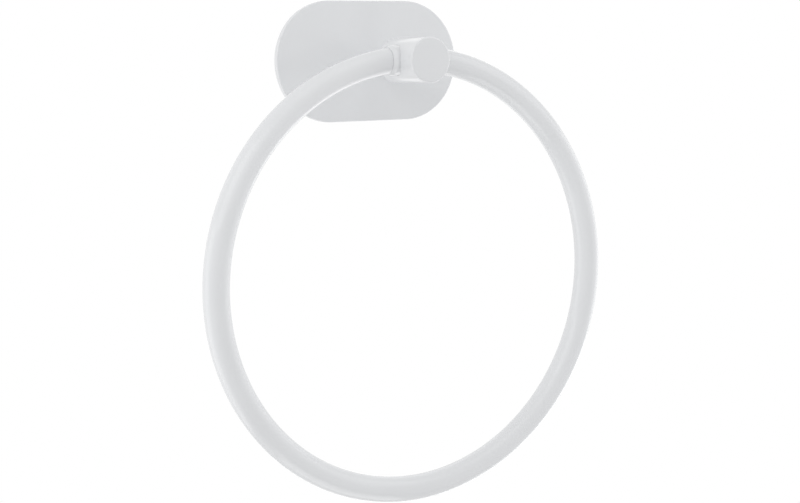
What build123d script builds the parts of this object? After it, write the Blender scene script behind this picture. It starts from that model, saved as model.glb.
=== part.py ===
from build123d import *
import os
from math import sqrt

# Towel ring for a wall, in millimetres.
# The wall is the plane y = 0, and the ring hangs in front of it, towards -Y, with +Z up.
# The post's axis passes through the origin.

# Wall plate: a thin plate with half-round ends
plate_width = 83.3
plate_height = 48.4
plate_thickness = 2.0
plate_rim_round = 0.6

# Foam tape, sticky on both faces, that holds the plate to the wall
tape_thickness = 1.0
tape_inset = 1.5

# Post: a round head on a slender stem, turned from one bar
head_diameter = 17.4
head_length = 25.0
head_front_round = 0.8
head_back_round = 0.4
stem_diameter = 7.0
stem_length = 22.4
stem_root_round = 1.0

# Countersunk screw that pulls the stem onto the plate
screw_diameter = 3.0
screw_head_diameter = 5.8
screw_length = 12.0
screw_key_across_flats = 2.0
screw_key_depth = 0.8
screw_play = 0.2
tapped_hole_runout = 1.5

# Ring: one bent tube, open at the top where the post takes its ends
ring_radius = 85.0
tube_diameter = 10.0
tube_wall = 1.2
tube_end_round = 0.8
ring_setback = 14.1

# Collars: turned end plugs that join the tube to the sides of the head
collar_foot_diameter = 10.8
collar_rim_diameter = 11.9
collar_rim_gap = 0.1
collar_rim_width = 0.8
collar_rim_round = 0.3
collar_tip_diameter = 10.4
collar_tip_round = 0.25
collar_taper_length = 1.25
collar_seat_depth = 0.6
collar_pin_diameter = 6.0
collar_pin_length = 5.0
plug_length = 8.0

# Open joint between a collar's tip and the end of the tube
tube_joint = 0.15

# Gap all round a piece that is pressed or bonded into another
fit_gap = 0.05

# Places that follow from the sizes
room = Plane.XZ
plate_back = tape_thickness
plate_face = plate_back + plate_thickness
head_back = plate_face + stem_length
head_front = head_back + head_length
ring_y = -(head_front - ring_setback)
head_radius = head_diameter / 2
tube_radius = tube_diameter / 2
tube_bore_radius = tube_radius - tube_wall
screw_countersink_depth = (screw_head_diameter - screw_diameter) / 2

collar_foot_radius = collar_foot_diameter / 2
collar_rim_radius = collar_rim_diameter / 2
collar_tip_radius = collar_tip_diameter / 2
collar_seat_x = sqrt(head_radius**2 - (collar_foot_radius + fit_gap) ** 2) - collar_seat_depth
collar_pin_x = collar_seat_x - collar_pin_length
collar_rim_back_x = head_radius + collar_rim_gap
collar_rim_front_x = collar_rim_back_x + collar_rim_width
collar_tip_x = collar_rim_front_x + collar_taper_length
tube_end_x = collar_tip_x + tube_joint

# The tube's centreline, carried on to the sides of the head, would reach the height of the post's axis there
ring_centre_z = -sqrt(ring_radius**2 - head_radius**2)
ring_axis = Axis((0, ring_y, ring_centre_z), (0, 1, 0))
collar_axis = Axis((0, ring_y, 0), (1, 0, 0))
tube_lowest_centre = (ring_y, ring_centre_z - ring_radius)


os.makedirs("parts", exist_ok=True)


# Foam tape, a little smaller than the plate so that it stays out of sight
with BuildPart() as mounting_tape:
    with BuildSketch(room):
        SlotOverall(plate_width - 2 * tape_inset, plate_height - 2 * tape_inset)
    extrude(amount=tape_thickness)

mounting_tape.part.label = "mounting_tape"
export_step(mounting_tape.part, "parts/mounting_tape.step")


# Plate, with its front rim rounded and a countersunk hole from the back
with BuildPart() as wall_plate:
    with BuildSketch(room.offset(plate_back)):
        SlotOverall(plate_width, plate_height)
    extrude(amount=plate_thickness)
    fillet(wall_plate.faces().sort_by(Axis.Y)[0].edges(), plate_rim_round)
    with Locations(Plane(origin=(0, -plate_back, 0), x_dir=(1, 0, 0), z_dir=(0, 1, 0))):
        CounterSinkHole(
            radius=screw_diameter / 2 + screw_play,
            counter_sink_radius=screw_head_diameter / 2 + screw_play,
            counter_sink_angle=90,
        )

wall_plate.part.label = "wall_plate"
export_step(wall_plate.part, "parts/wall_plate.step")


# Post: stem and head, a tapped hole up the stem, and a seat for a collar in each side of the head
with BuildPart() as post:
    with BuildSketch(room.offset(plate_face)):
        Circle(stem_diameter / 2)
    extrude(amount=stem_length)
    with BuildSketch(room.offset(head_back)):
        Circle(head_radius)
    extrude(amount=head_length)
    round_edges = post.edges().filter_by(GeomType.CIRCLE).sort_by(Axis.Y)
    stem_rims = round_edges.filter_by(lambda rim: abs(rim.radius - stem_diameter / 2) < fit_gap)
    head_rims = round_edges.filter_by(lambda rim: abs(rim.radius - head_radius) < fit_gap)
    fillet(stem_rims[0], stem_root_round)
    fillet(head_rims[0], head_front_round)
    fillet(head_rims[-1], head_back_round)
    with Locations(Plane(origin=(0, -plate_face, 0), x_dir=(1, 0, 0), z_dir=(0, 1, 0))):
        Hole(radius=screw_diameter / 2 + fit_gap, depth=screw_length - plate_thickness + tapped_hole_runout)
    with BuildSketch(Plane.YZ):
        with Locations((ring_y, 0)):
            Circle(collar_pin_diameter / 2 + fit_gap)
    extrude(amount=head_radius, both=True, mode=Mode.SUBTRACT)
    for side in (-1, 1):
        with BuildSketch(Plane.YZ.offset(side * collar_seat_x)):
            with Locations((ring_y, 0)):
                Circle(collar_foot_radius + fit_gap)
        extrude(amount=side * head_radius, mode=Mode.SUBTRACT)

post.part.label = "post"
export_step(post.part, "parts/post.step")


# Screw, driven from behind the plate, with a hexagon recess in its head
with BuildPart() as post_screw:
    with BuildSketch(Plane.XY):
        with BuildLine():
            Polyline(
                (0, -plate_back),
                (screw_head_diameter / 2, -plate_back),
                (screw_diameter / 2, -plate_back - screw_countersink_depth),
                (screw_diameter / 2, -plate_back - screw_length),
                (0, -plate_back - screw_length),
                close=True,
            )
        make_face()
    revolve(axis=Axis.Y)
    with BuildSketch(room.offset(plate_back)):
        RegularPolygon(radius=screw_key_across_flats / 2, side_count=6, major_radius=False)
    extrude(amount=screw_key_depth, mode=Mode.SUBTRACT)

post_screw.part.label = "post_screw"
export_step(post_screw.part, "parts/post_screw.step")


# Ring: a full turn of tube, cut open between the two collars, its ends rounded
with BuildPart() as ring:
    with BuildSketch(Plane.YZ):
        with Locations(tube_lowest_centre):
            Circle(tube_radius)
            Circle(tube_bore_radius, mode=Mode.SUBTRACT)
    revolve(axis=ring_axis)
    with Locations((0, ring_y, 0)):
        Box(2 * tube_end_x, ring_radius, ring_radius, mode=Mode.SUBTRACT)
    tube_ends = ring.faces().filter_by(GeomType.PLANE)
    fillet([edge for end in tube_ends for edge in end.outer_wire().edges()], tube_end_round)

ring.part.label = "ring"
export_step(ring.part, "parts/ring.step")


# Right collar: a curved plug in the tube, a collar with its rim beside the head, and a pin in the head
with BuildPart() as right_collar:
    with BuildSketch(Plane.YZ):
        with Locations(tube_lowest_centre):
            Circle(tube_bore_radius - fit_gap)
    revolve(axis=ring_axis)
    with Locations((collar_tip_x + plug_length / 2, ring_y, 0)):
        Box(plug_length, ring_radius, ring_radius, mode=Mode.INTERSECT)
    with BuildSketch(Plane.XY):
        with BuildLine():
            Polyline(
                (collar_pin_x, ring_y),
                (collar_pin_x, ring_y + collar_pin_diameter / 2),
                (collar_seat_x, ring_y + collar_pin_diameter / 2),
                (collar_seat_x, ring_y + collar_foot_radius),
                (collar_rim_back_x, ring_y + collar_foot_radius),
                (collar_rim_back_x, ring_y + collar_rim_radius),
                (collar_rim_front_x, ring_y + collar_rim_radius),
                (collar_tip_x, ring_y + collar_tip_radius),
                (collar_tip_x, ring_y),
                close=True,
            )
        make_face()
    revolve(axis=collar_axis)
    round_edges = right_collar.edges().filter_by(GeomType.CIRCLE)
    rim_edges = round_edges.filter_by(lambda rim: abs(rim.radius - collar_rim_radius) < fit_gap)
    tip_edge = round_edges.filter_by(lambda rim: abs(rim.radius - collar_tip_radius) < fit_gap)
    fillet(rim_edges, collar_rim_round)
    fillet(tip_edge, collar_tip_round)

right_collar.part.label = "right_collar"
export_step(right_collar.part, "parts/right_collar.step")


# Left collar, the right one's mirror image
with BuildPart() as left_collar:
    mirror(right_collar.part, about=Plane.YZ)

left_collar.part.label = "left_collar"
export_step(left_collar.part, "parts/left_collar.step")
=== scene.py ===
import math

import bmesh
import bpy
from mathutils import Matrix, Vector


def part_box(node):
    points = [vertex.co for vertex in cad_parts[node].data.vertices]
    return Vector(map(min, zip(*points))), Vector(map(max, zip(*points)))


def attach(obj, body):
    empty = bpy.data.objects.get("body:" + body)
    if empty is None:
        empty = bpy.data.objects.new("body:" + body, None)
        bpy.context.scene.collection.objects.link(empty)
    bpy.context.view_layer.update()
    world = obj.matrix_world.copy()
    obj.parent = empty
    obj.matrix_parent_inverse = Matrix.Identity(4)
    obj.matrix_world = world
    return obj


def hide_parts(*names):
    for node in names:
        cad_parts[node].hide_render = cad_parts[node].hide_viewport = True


bl_info = {
    "name": "Wall Towel Ring",
    "version": (1, 0, 0),
    "blender": (4, 5, 0),
    "location": "View3D > Sidebar > Towel Ring",
    "description": "A white coated towel ring on its wall plate, with a plain pale studio round it",
    "category": "Add Mesh",
}

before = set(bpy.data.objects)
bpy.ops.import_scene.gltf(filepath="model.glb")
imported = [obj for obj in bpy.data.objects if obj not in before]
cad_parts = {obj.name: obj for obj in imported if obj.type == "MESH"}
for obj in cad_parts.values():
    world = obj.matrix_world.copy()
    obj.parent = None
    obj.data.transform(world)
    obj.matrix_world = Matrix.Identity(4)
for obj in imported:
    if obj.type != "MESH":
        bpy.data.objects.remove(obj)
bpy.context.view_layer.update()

MM = 0.001
BODY = "root"
SIDEBAR_TAB = "Towel Ring"

QUARTER_TURN = math.radians(90)
FULL_TURN = 2 * math.pi
# Vertices closer than this are one vertex
WELD = 0.001 * MM
# A fold sharper than this is an edge, and a gentler one is a curve
CURVE_ANGLE = math.radians(35)
# How far a cutter reaches past the face that it opens, and how far a joined piece starts inside the other
OVERLAP = 1.0 * MM

# Slices round a turned piece, along the ring, round its tube, and across a rounded edge
ROUND_STEPS = 192
RING_STEPS = 360
TUBE_STEPS = 72
ROUNDING_STEPS = 6
# Slices along a collar's plug, so few that its end can be slid upright without passing the one before it
PLUG_STEPS = 6

# What the frame says of the pieces: lowest and highest corners, in metres
TAPE_LOW, TAPE_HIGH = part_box("mounting_tape")
PLATE_LOW, PLATE_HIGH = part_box("wall_plate")
POST_LOW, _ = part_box("post")
RING_LOW, RING_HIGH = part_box("ring")
PLATE_FACE_Y = PLATE_LOW[1]
PLATE_BACK_Y = PLATE_HIGH[1]
HEAD_FRONT_Y = POST_LOW[1]
RING_Y = (RING_LOW[1] + RING_HIGH[1]) / 2

ALONG_X = (1.0, 0.0, 0.0)
ALONG_Y = (0.0, 1.0, 0.0)
# Axes that pieces are turned round: a point on each, and its direction
POST_AXIS = ((0.0, 0.0, 0.0), ALONG_Y)
COLLAR_AXIS = ((0.0, RING_Y, 0.0), ALONG_X)


def length(name, description, default):
    """A length in metres that a user can change."""
    return bpy.props.FloatProperty(
        name=name,
        description=description,
        default=default,
        min=0.0,
        unit="LENGTH",
        subtype="DISTANCE",
        precision=5,
    )


def place_along(name, description, default):
    """A place along one axis, in metres, that a user can change."""
    return bpy.props.FloatProperty(name=name, description=description, default=default, unit="LENGTH")


def angle(name, description, degrees):
    """An angle that a user can change, given here in degrees."""
    return bpy.props.FloatProperty(
        name=name, description=description, default=math.radians(degrees), subtype="ANGLE"
    )


def colour(name, description, default):
    """A colour that a user can change."""
    return bpy.props.FloatVectorProperty(
        name=name, description=description, default=default, min=0.0, max=1.0, size=3, subtype="COLOR"
    )


def share(name, description, default):
    """A value from 0 to 1 that a user can change."""
    return bpy.props.FloatProperty(
        name=name, description=description, default=default, min=0.0, max=1.0, subtype="FACTOR"
    )


class TowelRingSizes(bpy.types.PropertyGroup):
    """Sizes of the pieces that their boxes in the frame don't give"""

    plate_rim_round: length("Plate rim rounding", "Radius of the plate's front rim", 0.6 * MM)
    plate_back_round: length("Plate back rounding", "Radius of the plate's back rim", 0.2 * MM)
    screw_hole_radius: length("Screw hole radius", "Radius of the screw's hole through the plate", 1.7 * MM)
    countersink_radius: length("Countersink radius", "Radius of the screw hole's mouth, behind", 3.1 * MM)
    head_length: length("Head length", "From the head's front face to its back", 25.0 * MM)
    head_radius: length("Head radius", "Radius of the post's head", 8.7 * MM)
    head_front_round: length("Head front rounding", "Radius of the head's front rim", 0.8 * MM)
    head_back_round: length("Head back rounding", "Radius of the head's back rim", 0.4 * MM)
    stem_radius: length("Stem radius", "Radius of the post's stem", 3.5 * MM)
    stem_round: length("Stem rounding", "Hollow radius where the stem meets the head", 1.0 * MM)
    tapped_hole_radius: length("Tapped hole radius", "Radius of the screw's hole up the stem", 1.55 * MM)
    tapped_hole_depth: length("Tapped hole depth", "Depth of the screw's hole up the stem", 11.5 * MM)
    seat_gap: length("Seat gap", "Gap round a collar's foot and pin in the head", 0.05 * MM)
    seat_depth: length("Seat depth", "From a seat's floor to where the head's side is nearest", 0.6 * MM)
    ring_radius: length("Ring radius", "From the ring's centre to the tube's centreline", 85.0 * MM)
    tube_radius: length("Tube radius", "Outer radius of the ring's tube", 5.0 * MM)
    tube_bore_radius: length("Tube bore radius", "Inner radius of the ring's tube", 3.8 * MM)
    tube_end_round: length("Tube end rounding", "Radius of the rim at each end of the tube", 0.2 * MM)
    collar_foot_radius: length("Collar foot radius", "Radius of a collar where it enters the head", 5.8 * MM)
    collar_rim_radius: length("Collar rim radius", "Radius of a collar's rim, its widest part", 5.95 * MM)
    collar_rim_gap: length("Collar rim gap", "From the head's side to a collar's rim", 0.0 * MM)
    collar_rim_width: length("Collar rim width", "Length of a collar's rim along its axis", 0.9 * MM)
    collar_rim_round: length("Collar rim rounding", "Radius of the rim's edge on the tube's side", 0.3 * MM)
    collar_back_round: length("Collar back rounding", "Radius of the rim's edge beside the head", 0.04 * MM)
    collar_taper: length("Collar taper", "Length of the cone from a collar's rim to its tip", 1.4 * MM)
    collar_tip_radius: length("Collar tip radius", "Radius of a collar where it meets the tube", 5.2 * MM)
    collar_tip_round: length("Collar tip rounding", "Radius of the edge of a collar's tip", 0.15 * MM)
    tube_joint: length("Tube joint", "Open joint between a collar's tip and the tube's end", 0.02 * MM)
    pin_radius: length("Pin radius", "Radius of the pin that holds a collar in the head", 3.0 * MM)
    pin_length: length("Pin length", "Length of the pin that holds a collar in the head", 5.0 * MM)
    plug_radius: length("Plug radius", "Radius of the plug that holds a collar in the tube", 3.75 * MM)
    plug_length: length("Plug length", "Length of the plug that holds a collar in the tube", 8.0 * MM)


class TowelRingFinish(bpy.types.PropertyGroup):
    """Colours and finish of the pieces"""

    coating: colour("Coating", "Colour of the white coating", (0.80, 0.81, 0.825))
    coating_roughness: share("Coating roughness", "Roughness of the coating", 0.16)
    foam: colour("Foam", "Colour of the foam tape", (0.66, 0.66, 0.64))
    zinc: colour("Zinc", "Colour of the plated screw", (0.62, 0.62, 0.64))
    floor: colour("Floor", "Colour of the studio floor", (0.80, 0.80, 0.80))


# Materials

# Noise patterns: waves to the metre, and how many finer waves lie on them
DIMPLES = (900.0, 1.0)
GRAIN = (3600.0, 1.0)
GLOSS_CLOUDS = (40.0, 3.0)
DUST = (2200.0, 0.0)
FOAM_UNEVENNESS = (120.0, 3.0)
# Cells of the foam, to the metre
FOAM_CELLS = 2600.0
# Turning marks on the screw: how closely they lie, how far they wander, and how many finer waves lie on them
TURNING_MARKS = 900.0
TURNING_WOBBLE = 1.5
TURNING_DETAIL = 2.0

# Ranges that a pattern is taken from
WHOLE_RANGE = (0.0, 1.0)
NOISE_RANGE = (0.3, 0.7)
SPECK_RANGE = (0.80, 0.86)
CELL_RANGE = (0.0, 0.8)
# Ranges that it is taken to
CLOUD_ROUGHNESS = (-0.05, 0.05)
FOAM_CELL_SHADE = (0.92, 1.04)
FOAM_UNEVEN_SHADE = (-0.03, 0.03)
FOAM_ROUGHNESS = (0.45, 0.75)
ZINC_ROUGHNESS = (0.28, 0.42)

# Height of the grain beside that of the dimples
GRAIN_SHARE = 0.25
# How much dust adds to the roughness, how strongly clouds show in the colour, and how much dust darkens it
DUST_ROUGHNESS = 0.2
CLOUD_TINT = 0.18
DUST_SHADE = 0.06

# Depth of each bump
COATING_DEPTH = 0.012 * MM
FOAM_DEPTH = 0.06 * MM
ZINC_DEPTH = 0.01 * MM

COATING_IOR = 1.5
FLOOR_ROUGHNESS = 0.8

# Strength of the dimples, the clouds and the dust in each coating
COATINGS = {
    "Plate coating": (1.0, 1.0, 0.5),
    "Post coating": (0.8, 0.8, 0.3),
    "Ring coating": (1.0, 1.0, 0.5),
    "Collar coating": (0.6, 0.6, 0.2),
}


def new_material(name):
    """A node material that holds only its output and a Principled BSDF, and that shader."""
    material = bpy.data.materials.new(name)
    material.use_nodes = True
    tree = material.node_tree
    tree.nodes.clear()
    output = tree.nodes.new("ShaderNodeOutputMaterial")
    shader = tree.nodes.new("ShaderNodeBsdfPrincipled")
    tree.links.new(shader.outputs["BSDF"], output.inputs["Surface"])
    return material, shader


def feed(tree, socket, given):
    """Gives an input its value, or links another node's output to it."""
    if isinstance(given, bpy.types.NodeSocket):
        tree.links.new(given, socket)
    else:
        socket.default_value = given


def add_node(tree, kind, group=None, **sockets):
    """A node of that kind, with its inputs fed by name. A group node is given its group first."""
    node = tree.nodes.new(kind)
    if group:
        node.node_tree = group
    for name, given in sockets.items():
        feed(tree, node.inputs[name.replace("_", " ")], given)
    return node


def object_point(tree):
    """Where each point of a piece lies in the frame."""
    return tree.nodes.new("ShaderNodeTexCoord").outputs["Object"]


def maths(tree, operation, first, second):
    """The output of a Math node. Each input is a value or a socket."""
    node = tree.nodes.new("ShaderNodeMath")
    node.operation = operation
    feed(tree, node.inputs[0], first)
    feed(tree, node.inputs[1], second)
    return node.outputs["Value"]


def shaded(tree, plain_colour, shade):
    """A colour made lighter or darker by a factor."""
    node = add_node(tree, "ShaderNodeVectorMath", Vector=plain_colour)
    node.operation = "SCALE"
    feed(tree, node.inputs["Scale"], shade)
    return node.outputs["Vector"]


def noise(tree, point, waves, detail):
    """A noise pattern with that many waves to the metre."""
    return add_node(tree, "ShaderNodeTexNoise", Vector=point, Scale=waves, Detail=detail).outputs["Fac"]


def spread(tree, value, taken_from, taken_to):
    """A value taken from one range to another, and kept inside it."""
    low, high = taken_from
    to_low, to_high = taken_to
    node = add_node(
        tree, "ShaderNodeMapRange", Value=value, From_Min=low, From_Max=high, To_Min=to_low, To_Max=to_high
    )
    return node.outputs["Result"]


def bumped(tree, shader, height, depth):
    """Sends a height to the shader's normal, as a bump that deep in metres."""
    bump = add_node(tree, "ShaderNodeBump", Height=height, Distance=depth)
    tree.links.new(bump.outputs["Normal"], shader.inputs["Normal"])


def new_effect(name, inputs, outputs):
    """A shader node group with those sockets, and its two end nodes."""
    group = bpy.data.node_groups.new(name, "ShaderNodeTree")
    for socket, (kind, value) in inputs.items():
        group.interface.new_socket(socket, in_out="INPUT", socket_type=kind).default_value = value
    for socket, kind in outputs.items():
        group.interface.new_socket(socket, in_out="OUTPUT", socket_type=kind)
    return group, group.nodes.new("NodeGroupInput"), group.nodes.new("NodeGroupOutput")


def powder_coat_effect():
    """Baked powder coat: a fine dimpled skin, soft clouds in its gloss, and a few specks of dust."""
    group, given, result = new_effect(
        "Powder coat",
        {
            "Point": ("NodeSocketVector", (0.0, 0.0, 0.0)),
            "Colour": ("NodeSocketColor", (0.8, 0.8, 0.8, 1.0)),
            "Roughness": ("NodeSocketFloat", 0.16),
            "Dimples": ("NodeSocketFloat", 1.0),
            "Clouds": ("NodeSocketFloat", 1.0),
            "Dust": ("NodeSocketFloat", 1.0),
        },
        {"Colour": "NodeSocketColor", "Roughness": "NodeSocketFloat", "Height": "NodeSocketFloat"},
    )
    point = given.outputs["Point"]
    # Dimples of about 1 mm, with a finer grain on them
    grain = maths(group, "MULTIPLY", noise(group, point, *GRAIN), GRAIN_SHARE)
    skin = maths(group, "ADD", noise(group, point, *DIMPLES), grain)
    height = maths(group, "MULTIPLY", skin, given.outputs["Dimples"])
    # Clouds of about 25 mm in the gloss
    clouds = spread(group, noise(group, point, *GLOSS_CLOUDS), NOISE_RANGE, CLOUD_ROUGHNESS)
    cloudy = maths(group, "MULTIPLY", clouds, given.outputs["Clouds"])
    # Specks of dust about 0.3 mm across, few and faint
    specks = spread(group, noise(group, point, *DUST), SPECK_RANGE, WHOLE_RANGE)
    dusty = maths(group, "MULTIPLY", specks, given.outputs["Dust"])
    change = maths(group, "ADD", cloudy, maths(group, "MULTIPLY", dusty, DUST_ROUGHNESS))
    roughness = maths(group, "ADD", given.outputs["Roughness"], change)
    # The colour is a little deeper where the clouds are glossier, and under the dust
    tint = maths(group, "ADD", maths(group, "MULTIPLY", cloudy, CLOUD_TINT), 1.0)
    shade = maths(group, "SUBTRACT", tint, maths(group, "MULTIPLY", dusty, DUST_SHADE))
    group.links.new(shaded(group, given.outputs["Colour"], shade), result.inputs["Colour"])
    group.links.new(roughness, result.inputs["Roughness"])
    group.links.new(height, result.inputs["Height"])
    return group


def coated_material(name, finish):
    """White powder coat over metal."""
    material, shader = new_material(name)
    tree = material.node_tree
    dimples, clouds, dust = COATINGS[name]
    skin = add_node(
        tree,
        "ShaderNodeGroup",
        group=bpy.data.node_groups.get("Powder coat") or powder_coat_effect(),
        Point=object_point(tree),
        Colour=(*finish.coating, 1.0),
        Roughness=finish.coating_roughness,
        Dimples=dimples,
        Clouds=clouds,
        Dust=dust,
    )
    tree.links.new(skin.outputs["Colour"], shader.inputs["Base Color"])
    tree.links.new(skin.outputs["Roughness"], shader.inputs["Roughness"])
    shader.inputs["IOR"].default_value = COATING_IOR
    bumped(tree, shader, skin.outputs["Height"], COATING_DEPTH)
    return material


def foam_material(finish):
    """Closed-cell foam tape: small round cells, and a slightly uneven face."""
    material, shader = new_material("Foam tape")
    tree = material.node_tree
    point = object_point(tree)
    cells = add_node(tree, "ShaderNodeTexVoronoi", Vector=point, Scale=FOAM_CELLS).outputs["Distance"]
    uneven = noise(tree, point, *FOAM_UNEVENNESS)
    cell_shade = spread(tree, cells, CELL_RANGE, FOAM_CELL_SHADE)
    shade = maths(tree, "ADD", cell_shade, spread(tree, uneven, NOISE_RANGE, FOAM_UNEVEN_SHADE))
    tree.links.new(shaded(tree, finish.foam, shade), shader.inputs["Base Color"])
    tree.links.new(spread(tree, uneven, NOISE_RANGE, FOAM_ROUGHNESS), shader.inputs["Roughness"])
    bumped(tree, shader, maths(tree, "ADD", cells, uneven), FOAM_DEPTH)
    return material


def zinc_material(finish):
    """Bright zinc plating with fine turning marks round the screw's axis."""
    material, shader = new_material("Zinc plating")
    tree = material.node_tree
    turning = add_node(
        tree,
        "ShaderNodeTexWave",
        Vector=object_point(tree),
        Scale=TURNING_MARKS,
        Distortion=TURNING_WOBBLE,
        Detail=TURNING_DETAIL,
    )
    turning.wave_type = "RINGS"
    turning.rings_direction = "Y"
    marks = turning.outputs["Fac"]
    shader.inputs["Base Color"].default_value = (*finish.zinc, 1.0)
    shader.inputs["Metallic"].default_value = 1.0
    tree.links.new(spread(tree, marks, WHOLE_RANGE, ZINC_ROUGHNESS), shader.inputs["Roughness"])
    bumped(tree, shader, marks, ZINC_DEPTH)
    return material


def material_named(name):
    """A finish that is made once, when the first piece asks for it."""
    finish = bpy.context.scene.towel_ring_finish
    if name in bpy.data.materials:
        return bpy.data.materials[name]
    if name == "Foam tape":
        return foam_material(finish)
    if name == "Zinc plating":
        return zinc_material(finish)
    return coated_material(name, finish)


# Pieces


def flat_outline(bm, low, high, y):
    """A face in the plane y with half-round ends, as wide and high as that box."""
    half_width = (high[0] - low[0]) / 2
    half_height = (high[2] - low[2]) / 2
    placed = Matrix.Translation((0.0, y, (low[2] + high[2]) / 2)) @ Matrix.Rotation(QUARTER_TURN, 4, "X")
    bmesh.ops.create_circle(bm, cap_ends=True, segments=ROUND_STEPS, radius=half_height, matrix=placed)
    for side in (-1, 1):
        half = [v for v in bm.verts if v.co.x * side > WELD]
        bmesh.ops.translate(bm, verts=half, vec=(side * (half_width - half_height), 0.0, 0.0))
    return bm.faces[:]


def slab(low, high):
    """A flat plate with half-round ends that fills that box."""
    bm = bmesh.new()
    faces = flat_outline(bm, low, high, high[1])
    grown = bmesh.ops.extrude_face_region(bm, geom=faces)["geom"]
    moved = [item for item in grown if isinstance(item, bmesh.types.BMVert)]
    bmesh.ops.translate(bm, verts=moved, vec=(0.0, low[1] - high[1], 0.0))
    return bm


def rim_at(bm, y):
    """The edges that lie in the plane y."""
    return [e for e in bm.edges if all(abs(v.co.y - y) < WELD for v in e.verts)]


def round_rims(bm, edges, radius):
    """Rounds those edges."""
    bmesh.ops.bevel(
        bm,
        geom=edges,
        offset=radius,
        offset_type="OFFSET",
        affect="EDGES",
        segments=ROUNDING_STEPS,
        profile=0.5,
        material=-1,
        clamp_overlap=True,
    )


def turned(points, rounds, axis):
    """Spins a profile, given as points in the plane z = 0, round an axis.

    rounds gives the numbers of the corners that are rounded, each with its radius.
    """
    bm = bmesh.new()
    corners = [bm.verts.new((x, y, 0.0)) for x, y in points]
    for one, other in zip(corners, corners[1:]):
        bm.edges.new((one, other))
    for number, radius in rounds:
        bmesh.ops.bevel(
            bm,
            geom=[corners[number]],
            offset=radius,
            offset_type="OFFSET",
            affect="VERTICES",
            segments=ROUNDING_STEPS,
            profile=0.5,
            material=-1,
        )
    centre, direction = axis
    bmesh.ops.spin(
        bm,
        geom=bm.verts[:] + bm.edges[:],
        cent=centre,
        axis=direction,
        angle=FULL_TURN,
        steps=ROUND_STEPS,
        use_merge=True,
    )
    return bm


def combined(bm, other, operation):
    """The first solid joined with the other one, or with the other one cut out of it."""
    solids = []
    for name, source in (("whole", bm), ("other", other)):
        bmesh.ops.remove_doubles(source, verts=source.verts, dist=WELD)
        bmesh.ops.recalc_face_normals(source, faces=source.faces)
        mesh = bpy.data.meshes.new(name)
        source.to_mesh(mesh)
        source.free()
        solid = bpy.data.objects.new(name, mesh)
        bpy.context.scene.collection.objects.link(solid)
        solids.append(solid)
    whole, tool = solids
    joint = whole.modifiers.new("Joint", "BOOLEAN")
    joint.operation = operation
    joint.solver = "EXACT"
    joint.object = tool
    result = bmesh.new()
    result.from_object(whole, bpy.context.evaluated_depsgraph_get())
    for solid in solids:
        bpy.data.objects.remove(solid)
    return result


def piece_from(bm, name, node, material):
    """Makes the finished piece that stands for a node of the frame and rides on its body."""
    bmesh.ops.remove_doubles(bm, verts=bm.verts, dist=WELD)
    bmesh.ops.dissolve_degenerate(bm, edges=bm.edges, dist=WELD)
    bmesh.ops.recalc_face_normals(bm, faces=bm.faces)
    for face in bm.faces:
        face.smooth = True
    mesh = bpy.data.meshes.new(name)
    bm.to_mesh(mesh)
    bm.free()
    mesh.set_sharp_from_angle(angle=CURVE_ANGLE)
    mesh.materials.append(material_named(material))
    piece = bpy.data.objects.new(name, mesh)
    bpy.context.scene.collection.objects.link(piece)
    weights = piece.modifiers.new("Flat faces stay flat", "WEIGHTED_NORMAL")
    weights.keep_sharp = True
    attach(piece, BODY)
    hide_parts(node)


class TOWELRING_OT_mounting_tape(bpy.types.Operator):
    """Adds the foam tape between the plate and the wall"""

    bl_idname = "towelring.mounting_tape"
    bl_label = "Mounting Tape"

    def execute(self, context):
        tape = slab(TAPE_LOW, TAPE_HIGH)
        piece_from(tape, "foam_tape", "mounting_tape", "Foam tape")
        return {"FINISHED"}


class TOWELRING_OT_wall_plate(bpy.types.Operator):
    """Adds the thin coated plate with its rims rounded and the screw's countersunk hole"""

    bl_idname = "towelring.wall_plate"
    bl_label = "Wall Plate"

    def execute(self, context):
        sizes = context.scene.towel_ring_sizes
        plate = slab(PLATE_LOW, PLATE_HIGH)
        round_rims(plate, rim_at(plate, PLATE_FACE_Y), sizes.plate_rim_round)
        round_rims(plate, rim_at(plate, PLATE_BACK_Y), sizes.plate_back_round)
        # The cone's side slopes at 45 degrees, so it is as deep as it is wide
        cone_depth = sizes.countersink_radius - sizes.screw_hole_radius
        hole_profile = [
            (0.0, PLATE_BACK_Y + OVERLAP),
            (sizes.countersink_radius + OVERLAP, PLATE_BACK_Y + OVERLAP),
            (sizes.screw_hole_radius, PLATE_BACK_Y - cone_depth),
            (sizes.screw_hole_radius, PLATE_FACE_Y - OVERLAP),
            (0.0, PLATE_FACE_Y - OVERLAP),
        ]
        plate = combined(plate, turned(hole_profile, [], POST_AXIS), "DIFFERENCE")
        piece_from(plate, "coated_plate", "wall_plate", "Plate coating")
        return {"FINISHED"}


def collar_seat_x(sizes):
    """How far the floor of a collar's seat lies from the post's axis."""
    seat_radius = sizes.collar_foot_radius + sizes.seat_gap
    return math.sqrt(sizes.head_radius**2 - seat_radius**2) - sizes.seat_depth


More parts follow.
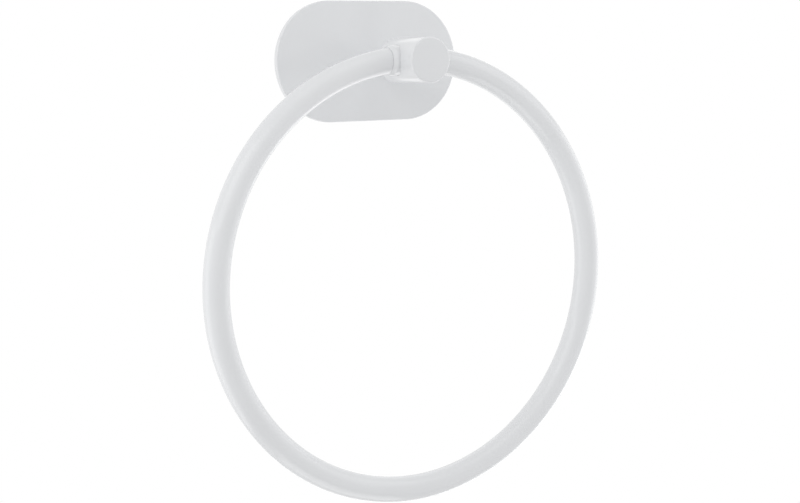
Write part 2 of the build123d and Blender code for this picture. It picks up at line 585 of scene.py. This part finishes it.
class TOWELRING_OT_post(bpy.types.Operator):
    """Adds the turned post, with the screw's hole up its stem, and a cross hole between two collar seats"""

    bl_idname = "towelring.post"
    bl_label = "Post"

    def execute(self, context):
        sizes = context.scene.towel_ring_sizes
        head_back_y = HEAD_FRONT_Y + sizes.head_length
        hole_end_y = PLATE_FACE_Y - sizes.tapped_hole_depth
        post_profile = [
            (0.0, hole_end_y),
            (sizes.tapped_hole_radius, hole_end_y),
            (sizes.tapped_hole_radius, PLATE_FACE_Y),
            (sizes.stem_radius, PLATE_FACE_Y),
            (sizes.stem_radius, head_back_y),
            (sizes.head_radius, head_back_y),
            (sizes.head_radius, HEAD_FRONT_Y),
            (0.0, HEAD_FRONT_Y),
        ]
        rounds = [(4, sizes.stem_round), (5, sizes.head_back_round), (6, sizes.head_front_round)]
        post = turned(post_profile, rounds, POST_AXIS)
        seat_x = collar_seat_x(sizes)
        outside_x = sizes.head_radius + OVERLAP
        seat_y = RING_Y + sizes.collar_foot_radius + sizes.seat_gap
        pin_y = RING_Y + sizes.pin_radius + sizes.seat_gap
        seats_profile = [
            (-outside_x, RING_Y),
            (-outside_x, seat_y),
            (-seat_x, seat_y),
            (-seat_x, pin_y),
            (seat_x, pin_y),
            (seat_x, seat_y),
            (outside_x, seat_y),
            (outside_x, RING_Y),
        ]
        post = combined(post, turned(seats_profile, [], COLLAR_AXIS), "DIFFERENCE")
        piece_from(post, "turned_post", "post", "Post coating")
        return {"FINISHED"}


class TOWELRING_OT_post_screw(bpy.types.Operator):
    """Gives the countersunk screw behind the tape its zinc plating"""

    bl_idname = "towelring.post_screw"
    bl_label = "Post Screw"

    def execute(self, context):
        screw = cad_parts["post_screw"]
        for slot in screw.material_slots:
            slot.material = material_named("Zinc plating")
        return {"FINISHED"}


def ring_centre(sizes):
    """The ring's centre. Carried on to the head's sides, its tube would be level with the post's axis."""
    return Vector((0.0, RING_Y, -math.sqrt(sizes.ring_radius**2 - sizes.head_radius**2)))


def collar_tip_x(sizes):
    """How far a collar's tip lies from the post's axis."""
    return sizes.head_radius + sizes.collar_rim_gap + sizes.collar_rim_width + sizes.collar_taper


def swept(sizes, radius, bore_radius, start, end, steps):
    """A bar, or a tube if it has a bore, along the centreline of the ring's tube.

    It runs between two angles, measured from the ring's top towards the right. The vertices of its two
    ends are given with it.
    """
    centre = ring_centre(sizes)
    placed = (
        Matrix.Translation(centre)
        @ Matrix.Rotation(start, 4, "Y")
        @ Matrix.Translation((0.0, 0.0, sizes.ring_radius))
        @ Matrix.Rotation(QUARTER_TURN, 4, "Y")
    )
    bm = bmesh.new()
    bmesh.ops.create_circle(bm, cap_ends=True, segments=TUBE_STEPS, radius=radius, matrix=placed)
    if bore_radius:
        disc = bm.faces[:]
        bmesh.ops.inset_individual(bm, faces=disc, thickness=radius - bore_radius)
        bmesh.ops.delete(bm, geom=disc, context="FACES_ONLY")
    first = bm.verts[:]
    spun = bmesh.ops.spin(
        bm,
        geom=bm.verts[:] + bm.edges[:] + bm.faces[:],
        cent=centre,
        axis=ALONG_Y,
        angle=end - start,
        steps=steps,
    )
    last = [item for item in spun["geom_last"] if isinstance(item, bmesh.types.BMVert)]
    return bm, first, last


def stand_upright(end, centre, x):
    """Slides the vertices of a sweep's end round the ring, until they lie in the upright plane at x."""
    for v in end:
        reach = math.hypot(v.co.x, v.co.z - centre.z)
        v.co.x = x
        v.co.z = centre.z + math.sqrt(reach**2 - x**2)


class TOWELRING_OT_ring(bpy.types.Operator):
    """Adds the bent tube, hollow and cut upright at its two ends"""

    bl_idname = "towelring.ring"
    bl_label = "Ring"

    def execute(self, context):
        sizes = context.scene.towel_ring_sizes
        end_x = collar_tip_x(sizes) + sizes.tube_joint
        start = math.asin(end_x / sizes.ring_radius)
        tube, first, last = swept(
            sizes, sizes.tube_radius, sizes.tube_bore_radius, start, FULL_TURN - start, RING_STEPS
        )
        # Only the outer rim of each end is rounded
        centre = ring_centre(sizes)
        mouth_z = centre.z + math.sqrt(sizes.ring_radius**2 - end_x**2)
        wall_middle = (sizes.tube_radius + sizes.tube_bore_radius) / 2
        rims = []
        for end, x in ((first, end_x), (last, -end_x)):
            stand_upright(end, centre, x)
            mouth = Vector((x, RING_Y, mouth_z))
            outer = {v for v in end if (v.co - mouth).length > wall_middle}
            rims += [e for e in tube.edges if e.verts[0] in outer and e.verts[1] in outer]
        round_rims(tube, rims, sizes.tube_end_round)
        piece_from(tube, "bent_tube", "ring", "Ring coating")
        return {"FINISHED"}


class TOWELRING_OT_collars(bpy.types.Operator):
    """Adds the two collars, each widest beside the head, with a pin in the head and a plug in the tube"""

    bl_idname = "towelring.collars"
    bl_label = "Collars"

    def execute(self, context):
        sizes = context.scene.towel_ring_sizes
        seat_x = collar_seat_x(sizes)
        pin_x = seat_x - sizes.pin_length
        rim_back_x = sizes.head_radius + sizes.collar_rim_gap
        rim_front_x = rim_back_x + sizes.collar_rim_width
        tip_x = collar_tip_x(sizes)
        plug_tip_x = tip_x + sizes.plug_length
        profile = [
            (pin_x, RING_Y),
            (pin_x, RING_Y + sizes.pin_radius),
            (seat_x, RING_Y + sizes.pin_radius),
            (seat_x, RING_Y + sizes.collar_foot_radius),
            (rim_back_x, RING_Y + sizes.collar_foot_radius),
            (rim_back_x, RING_Y + sizes.collar_rim_radius),
            (rim_front_x, RING_Y + sizes.collar_rim_radius),
            (tip_x, RING_Y + sizes.collar_tip_radius),
            (tip_x, RING_Y),
        ]
        rounds = [(5, sizes.collar_back_round), (6, sizes.collar_rim_round), (7, sizes.collar_tip_round)]
        plug_start = math.asin((tip_x - OVERLAP) / sizes.ring_radius)
        plug_end = math.asin(plug_tip_x / sizes.ring_radius)
        for side, name, node in (
            (1, "right_collar_turned", "right_collar"),
            (-1, "left_collar_turned", "left_collar"),
        ):
            plug, _, plug_tip = swept(sizes, sizes.plug_radius, 0.0, plug_start, plug_end, PLUG_STEPS)
            stand_upright(plug_tip, ring_centre(sizes), plug_tip_x)
            collar = combined(turned(profile, rounds, COLLAR_AXIS), plug, "UNION")
            bmesh.ops.scale(collar, vec=(side, 1.0, 1.0), verts=collar.verts)
            piece_from(collar, name, node, "Collar coating")
        return {"FINISHED"}


# Studio

WHITE = (1.0, 1.0, 1.0, 1.0)

# Width of the camera's sensor in millimetres, and the nearest that it sees in metres
SENSOR_WIDTH = 36.0
NEAREST_SEEN = 0.01

# Soft boxes: name, degrees round from the front to the right, degrees up, and power in watts
SOFT_BOXES = (
    ("top_box", 0.0, 62.0, 0.16),
    ("front_left_high_box", -40.0, 28.0, 0.22),
    ("left_high_box", -70.0, 28.0, 0.37),
    ("right_high_box", 60.0, 28.0, 0.24),
    ("back_high_box", 150.0, 28.0, 0.15),
    ("left_box", -105.0, -5.0, 0.32),
    ("front_right_box", 60.0, -5.0, 0.19),
    ("right_box", 90.0, -5.0, 0.31),
    ("left_low_box", -110.0, -40.0, 0.34),
    ("right_low_box", 110.0, -40.0, 0.47),
    ("back_low_box", 150.0, -40.0, 0.17),
    ("under_box", 0.0, -80.0, 0.44),
)


class TowelRingStudio(bpy.types.PropertyGroup):
    """Where the camera stands, and how bright the studio is"""

    azimuth: angle("Azimuth", "How far the camera stands to the left of the plate's normal", 30.852)
    elevation: angle("Elevation", "How far the camera looks down", 7.319)
    roll: angle("Roll", "How far the camera is turned about its own line of sight", -0.992)
    distance: length("Distance", "From the camera to the point that it looks at", 0.6115)
    aim_x: place_along("Aim, across", "Where the camera looks, across the plate", 0.013147)
    aim_z: place_along("Aim, height", "Where the camera looks, up or down", -0.078979)
    lens: bpy.props.FloatProperty(
        name="Lens", description="Focal length on a 36 mm sensor, in millimetres", default=65.97, min=1.0
    )
    floor_drop: length("Floor drop", "How far the floor lies below the post", 1.1)
    floor_half: length("Floor half-width", "Half the side of the square floor", 1.2)
    world_level: bpy.props.FloatProperty(
        name="World level", description="Strength of the white world on the object", default=0.66, min=0.0
    )
    lamp_size: length("Lamp size", "Side of each square soft box", 0.35)
    lamp_distance: length("Lamp distance", "From each soft box to the point that it faces", 0.55)
    lamp_aim_drop: length("Lamp aim drop", "How far below the post the soft boxes face", 0.03)


def way_to(bearing, height):
    """The direction that lies so many degrees round from the front and so many degrees up."""
    turn = math.radians(bearing)
    rise = math.radians(height)
    return Vector((math.sin(turn) * math.cos(rise), -math.cos(turn) * math.cos(rise), math.sin(rise)))


def back_towards(way):
    """The turn of a camera or lamp that has that direction behind it."""
    return way.to_track_quat("Z", "Y").to_matrix().to_4x4()


def pale_floor(drop, half_width, floor_colour):
    """A square floor that lies that far below the post."""
    bm = bmesh.new()
    placed = Matrix.Translation((0.0, 0.0, -drop))
    bmesh.ops.create_grid(bm, x_segments=1, y_segments=1, size=half_width, matrix=placed)
    mesh = bpy.data.meshes.new("floor")
    bm.to_mesh(mesh)
    bm.free()
    material, shader = new_material("Studio floor")
    shader.inputs["Base Color"].default_value = (*floor_colour, 1.0)
    shader.inputs["Roughness"].default_value = FLOOR_ROUGHNESS
    mesh.materials.append(material)
    floor = bpy.data.objects.new("floor", mesh)
    bpy.context.scene.collection.objects.link(floor)


def white_world(level):
    """A world that is seen as plain white, and lights the object at that level."""
    world = bpy.data.worlds.new("White studio")
    world.use_nodes = True
    tree = world.node_tree
    tree.nodes.clear()
    output = tree.nodes.new("ShaderNodeOutputWorld")
    lighting = add_node(tree, "ShaderNodeBackground", Color=WHITE, Strength=level)
    seen = add_node(tree, "ShaderNodeBackground", Color=WHITE, Strength=1.0)
    path = tree.nodes.new("ShaderNodeLightPath")
    shown = maths(tree, "MAXIMUM", path.outputs["Is Camera Ray"], path.outputs["Is Glossy Ray"])
    shown = maths(tree, "MAXIMUM", shown, path.outputs["Is Transmission Ray"])
    mix = add_node(tree, "ShaderNodeMixShader", Fac=shown)
    tree.links.new(lighting.outputs["Background"], mix.inputs[1])
    tree.links.new(seen.outputs["Background"], mix.inputs[2])
    tree.links.new(mix.outputs["Shader"], output.inputs["Surface"])
    bpy.context.scene.world = world


def soft_box(name, bearing, height, watts, studio):
    """A square area lamp, unseen by the camera, that faces a point just below the post."""
    target = Vector((0.0, RING_Y, -studio.lamp_aim_drop))
    way = way_to(bearing, height)
    lamp = bpy.data.lights.new(name, "AREA")
    lamp.shape = "SQUARE"
    lamp.size = studio.lamp_size
    lamp.energy = watts
    holder = bpy.data.objects.new(name, lamp)
    holder.matrix_world = Matrix.Translation(target + studio.lamp_distance * way) @ back_towards(way)
    holder.visible_camera = False
    bpy.context.scene.collection.objects.link(holder)


def aimed_camera(studio):
    """The camera, at its distance from the point that it looks at."""
    target = Vector((studio.aim_x, PLATE_FACE_Y, studio.aim_z))
    way = way_to(-math.degrees(studio.azimuth), math.degrees(studio.elevation))
    camera = bpy.data.objects.new("camera", bpy.data.cameras.new("camera"))
    camera.data.sensor_fit = "HORIZONTAL"
    camera.data.sensor_width = SENSOR_WIDTH
    camera.data.lens = studio.lens
    camera.data.clip_start = NEAREST_SEEN
    rolled = Matrix.Rotation(studio.roll, 4, "Z")
    camera.matrix_world = Matrix.Translation(target + studio.distance * way) @ back_towards(way) @ rolled
    bpy.context.scene.collection.objects.link(camera)
    return camera


class TOWELRING_OT_studio(bpy.types.Operator):
    """Adds the floor, the lamps, the white world and the camera"""

    bl_idname = "towelring.studio"
    bl_label = "Studio"

    def execute(self, context):
        studio = context.scene.towel_ring_studio
        pale_floor(studio.floor_drop, studio.floor_half, context.scene.towel_ring_finish.floor)
        white_world(studio.world_level)
        for name, bearing, height, watts in SOFT_BOXES:
            soft_box(name, bearing, height, watts, studio)
        context.scene.camera = aimed_camera(studio)
        context.scene.view_settings.view_transform = "Standard"
        return {"FINISHED"}


class TOWELRING_PT_sidebar(bpy.types.Panel):
    """Lists the pieces that can be added, and their sizes and colours"""

    bl_idname = "TOWELRING_PT_sidebar"
    bl_label = "Towel Ring"
    bl_space_type = "VIEW_3D"
    bl_region_type = "UI"
    bl_category = SIDEBAR_TAB

    def draw(self, context):
        scene = context.scene
        for operator in OPERATORS:
            self.layout.operator(operator.bl_idname)
        for group in (scene.towel_ring_sizes, scene.towel_ring_finish, scene.towel_ring_studio):
            box = self.layout.box()
            for name in group.__annotations__:
                box.prop(group, name)


OPERATORS = (
    TOWELRING_OT_mounting_tape,
    TOWELRING_OT_wall_plate,
    TOWELRING_OT_post,
    TOWELRING_OT_post_screw,
    TOWELRING_OT_ring,
    TOWELRING_OT_collars,
    TOWELRING_OT_studio,
)
CLASSES = (TowelRingSizes, TowelRingFinish, TowelRingStudio, *OPERATORS, TOWELRING_PT_sidebar)


def register():
    for item in CLASSES:
        bpy.utils.register_class(item)
    bpy.types.Scene.towel_ring_sizes = bpy.props.PointerProperty(type=TowelRingSizes)
    bpy.types.Scene.towel_ring_finish = bpy.props.PointerProperty(type=TowelRingFinish)
    bpy.types.Scene.towel_ring_studio = bpy.props.PointerProperty(type=TowelRingStudio)


def unregister():
    del bpy.types.Scene.towel_ring_studio
    del bpy.types.Scene.towel_ring_finish
    del bpy.types.Scene.towel_ring_sizes
    for item in reversed(CLASSES):
        bpy.utils.unregister_class(item)


def main():
    register()
    bpy.ops.towelring.mounting_tape()
    bpy.ops.towelring.wall_plate()
    bpy.ops.towelring.post()
    bpy.ops.towelring.post_screw()
    bpy.ops.towelring.ring()
    bpy.ops.towelring.collars()
    bpy.ops.towelring.studio()


if __name__ == "__main__":
    main()
